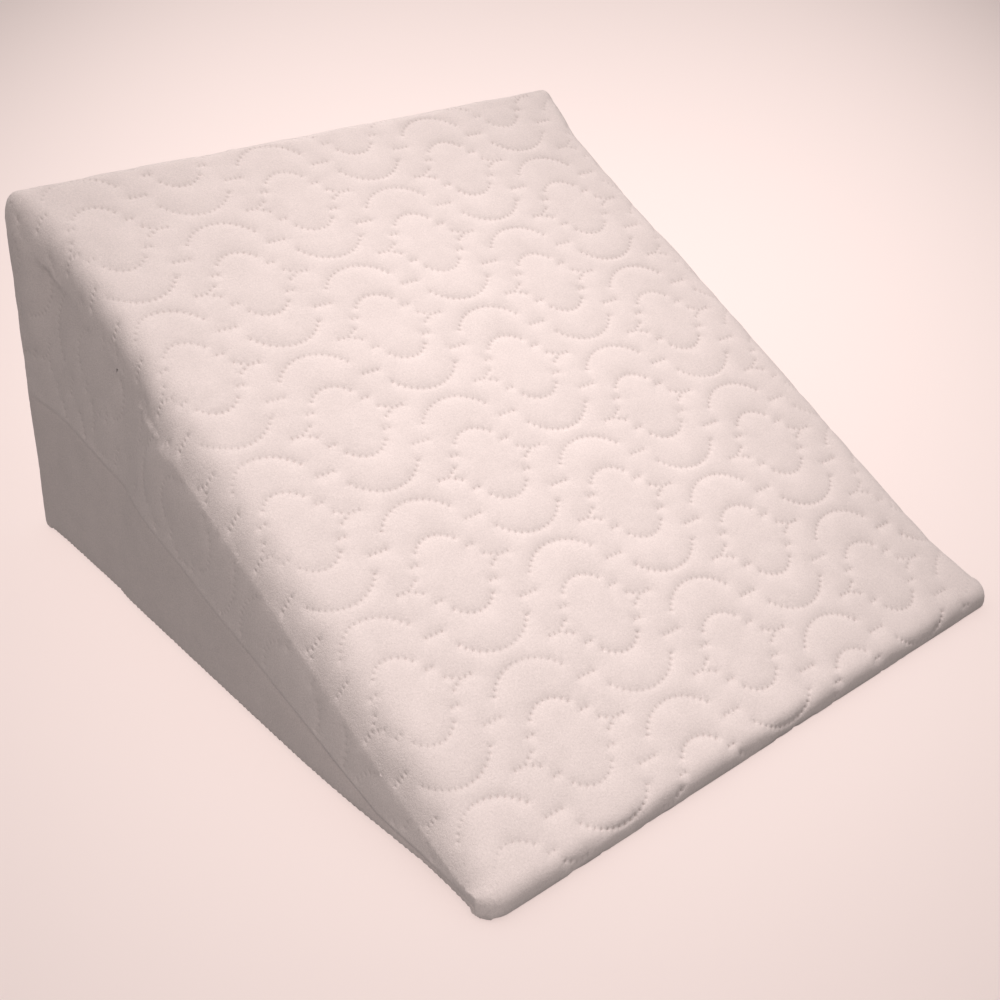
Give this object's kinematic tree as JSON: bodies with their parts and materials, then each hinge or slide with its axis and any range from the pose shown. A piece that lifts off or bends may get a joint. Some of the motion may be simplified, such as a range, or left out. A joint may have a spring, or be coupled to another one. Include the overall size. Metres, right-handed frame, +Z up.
{
  "type": "wedge pillow",
  "caption": "Foam wedge pillow in a fitted cover: thin front lip, straight quilted slope with soft side edges, high quilted back, plain sides and flat base.",
  "frame": {"origin": "middle of the flat base, on the surface that the pillow rests on", "axes": "+Z up from the base, +Y from the thin front edge to the high back, +X to the right of someone who faces the slope"},
  "size_m": [0.6, 0.612, 0.3111],
  "materials": {
    "quilted_cloth": "matte brushed cloth with welded quilting"
  },
  "bodies": {
    "root": {"wedge_pillow": "quilted_cloth"}
  },
  "joints": []
}
